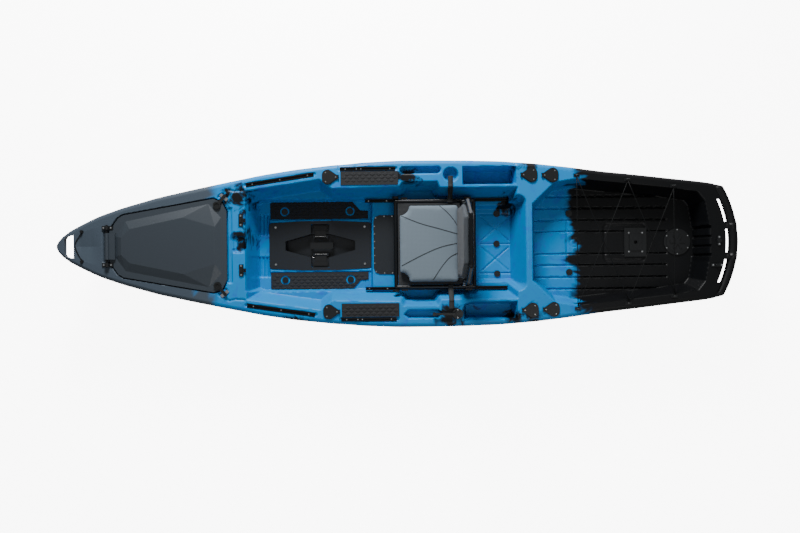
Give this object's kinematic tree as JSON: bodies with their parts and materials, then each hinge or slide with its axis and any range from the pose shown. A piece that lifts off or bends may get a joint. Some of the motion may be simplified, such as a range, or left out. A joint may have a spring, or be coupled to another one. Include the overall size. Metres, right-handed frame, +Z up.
{
  "type": "pedal boat",
  "caption": "Sit-on-top fishing kayak hull with a drop-in pedal drive well, sliding folding seat, bow hatch, tank well, gear tracks and rod holders.",
  "frame": {"origin": "centre of the box's bottom face, under the hull's keel", "axes": "+X towards the bow, +Y towards port, +Z up"},
  "size_m": [3.66, 0.9, 0.761],
  "materials": {
    "hull_shell": "satin",
    "hatch_shell": "satin",
    "moulding": "satin",
    "soft_seal": "matt",
    "grip_pad": "matt",
    "rails": "anodised",
    "fasteners": "polished",
    "cushion_cover": "matt",
    "webbing": "matt"
  },
  "bodies": {
    "hull_body": {"hull": "hull_shell", "bow_hatch_seal": "soft_seal", "bow_hinge_rod": "rails", "bow_hinge_eyes": "moulding", "hatch_keepers": "fasteners", "bow_cord_eyes": "moulding", "bow_cord": "soft_seal", "deck_cleats": "moulding", "gear_tracks_fore": "rails", "gear_tracks_mid": "rails", "track_bolts": "fasteners", "rod_holders_fore": "moulding", "rod_holders_mid": "moulding", "rod_holders_aft": "moulding", "rod_holder_screws": "fasteners", "side_pads": "grip_pad", "foot_pads": "grip_pad", "scupper_plugs": "soft_seal", "drive_pod": "moulding", "drive_pod_seal": "soft_seal", "drive_pod_bolts": "fasteners", "console_panel": "moulding", "console_screws": "fasteners", "seat_rails": "rails", "rail_screws": "fasteners", "seat_straps": "webbing", "steering_base": "moulding", "rudder_bush": "moulding", "deck_plate_ring": "moulding", "mounting_plate": "moulding", "shock_cord": "soft_seal", "shock_cord_eyes": "moulding", "stern_eye": "moulding", "deck_screws": "fasteners"},
    "bow_hatch": {"bow_hatch_lid": "hatch_shell"},
    "latch_port": {"hatch_latch_port": "moulding"},
    "latch_starboard": {"hatch_latch_starboard": "moulding"},
    "drive_plug": {"pod_plug": "moulding", "pod_plug_handle": "moulding"},
    "plug_latch_port": {"pod_latch_port": "moulding"},
    "plug_latch_starboard": {"pod_latch_starboard": "moulding"},
    "seat_base": {"seat_frame": "rails", "seat_shoes": "moulding", "seat_cushion": "cushion_cover", "seat_mesh": "webbing", "back_pins": "fasteners"},
    "backrest": {"back_frame": "rails", "back_pad": "cushion_cover", "back_mesh": "webbing"},
    "knob_port": {"seat_knob_port": "moulding"},
    "knob_starboard": {"seat_knob_starboard": "moulding"},
    "lever": {"steering_lever": "moulding"},
    "rudder_blade": {"rudder": "moulding"},
    "plate_lid": {"deck_plate_lid": "moulding"},
    "cap_fore_port": {"rod_cap_fore_port": "moulding"},
    "cap_fore_starboard": {"rod_cap_fore_starboard": "moulding"},
    "cap_mid_port": {"rod_cap_mid_port": "moulding"},
    "cap_mid_starboard": {"rod_cap_mid_starboard": "moulding"},
    "cap_aft_port": {"rod_cap_aft_port": "moulding"},
    "cap_aft_starboard": {"rod_cap_aft_starboard": "moulding"}
  },
  "joints": [
    {"name": "bow_hatch_hinge", "type": "hinge", "parent": "hull_body", "child": "bow_hatch", "pos_m": [1.53693, 0, 0.3952], "axis": [0, 1, 0], "range_deg": [0, 100]},
    {"name": "hatch_latch_port_turn", "type": "hinge", "parent": "bow_hatch", "child": "latch_port", "pos_m": [0.96479, 0.215, 0.34688], "axis": [-0.0598, 0, 0.9982], "range_deg": [-90, 0]},
    {"name": "hatch_latch_starboard_turn", "type": "hinge", "parent": "bow_hatch", "child": "latch_starboard", "pos_m": [0.96479, -0.215, 0.34688], "axis": [-0.0598, 0, 0.9982], "range_deg": [0, 90]},
    {"name": "pod_plug_lift", "type": "slide", "parent": "hull_body", "child": "drive_plug", "axis": [0, 0, 1], "range_m": [0, 0.2]},
    {"name": "pod_latch_port_flip", "type": "hinge", "parent": "drive_plug", "child": "plug_latch_port", "pos_m": [0.436, 0.05, 0.132], "axis": [1, 0, 0], "range_deg": [0, 100]},
    {"name": "pod_latch_starboard_flip", "type": "hinge", "parent": "drive_plug", "child": "plug_latch_starboard", "pos_m": [0.436, -0.05, 0.132], "axis": [-1, 0, 0], "range_deg": [0, 100]},
    {"name": "seat_slide", "type": "slide", "parent": "hull_body", "child": "seat_base", "axis": [1, 0, 0], "range_m": [-0.18, 0.03]},
    {"name": "seat_back_fold", "type": "hinge", "parent": "seat_base", "child": "backrest", "pos_m": [-0.352, 0, 0.362], "axis": [0, 1, 0], "range_deg": [-12, 85]},
    {"name": "seat_knob_port_turn", "type": "hinge", "parent": "seat_base", "child": "knob_port", "pos_m": [0.01, 0.25, 0.275], "axis": [0, 1, 0], "range_deg": [0, 180]},
    {"name": "seat_knob_starboard_turn", "type": "hinge", "parent": "seat_base", "child": "knob_starboard", "pos_m": [0.01, -0.25, 0.275], "axis": [0, 1, 0], "range_deg": [0, 180]},
    {"name": "steering_lever_turn", "type": "hinge", "parent": "hull_body", "child": "lever", "pos_m": [-0.318, 0.378, 0.36], "axis": [0, 0, 1], "range_deg": [-30, 30]},
    {"name": "rudder_turn", "type": "hinge", "parent": "hull_body", "child": "rudder_blade", "pos_m": [-1.722, 0, 0.2], "axis": [0, 0, 1], "range_deg": [-30, 30]},
    {"name": "deck_plate_lid_turn", "type": "hinge", "parent": "hull_body", "child": "plate_lid", "pos_m": [-1.552, 0, 0.206], "axis": [0, 0, 1], "range_deg": [0, 90]},
    {"name": "rod_cap_fore_port_hinge", "type": "hinge", "parent": "hull_body", "child": "cap_fore_port", "pos_m": [0.316, 0.361, 0.3477], "axis": [0, -1, 0], "range_deg": [0, 130]},
    {"name": "rod_cap_fore_starboard_hinge", "type": "hinge", "parent": "hull_body", "child": "cap_fore_starboard", "pos_m": [0.316, -0.361, 0.3477], "axis": [0, -1, 0], "range_deg": [0, 130]},
    {"name": "rod_cap_mid_port_hinge", "type": "hinge", "parent": "hull_body", "child": "cap_mid_port", "pos_m": [-0.665, 0.363, 0.3477], "axis": [0, 1, 0], "range_deg": [0, 130]},
    {"name": "rod_cap_mid_starboard_hinge", "type": "hinge", "parent": "hull_body", "child": "cap_mid_starboard", "pos_m": [-0.665, -0.363, 0.3477], "axis": [0, 1, 0], "range_deg": [0, 130]},
    {"name": "rod_cap_aft_port_hinge", "type": "hinge", "parent": "hull_body", "child": "cap_aft_port", "pos_m": [-0.778, 0.36, 0.3477], "axis": [0, 1, 0], "range_deg": [0, 130]},
    {"name": "rod_cap_aft_starboard_hinge", "type": "hinge", "parent": "hull_body", "child": "cap_aft_starboard", "pos_m": [-0.778, -0.36, 0.3477], "axis": [0, 1, 0], "range_deg": [0, 130]}
  ],
  "couplings": [
    {"joint": "rudder_turn", "follows": "steering_lever_turn", "ratio": -1}
  ]
}
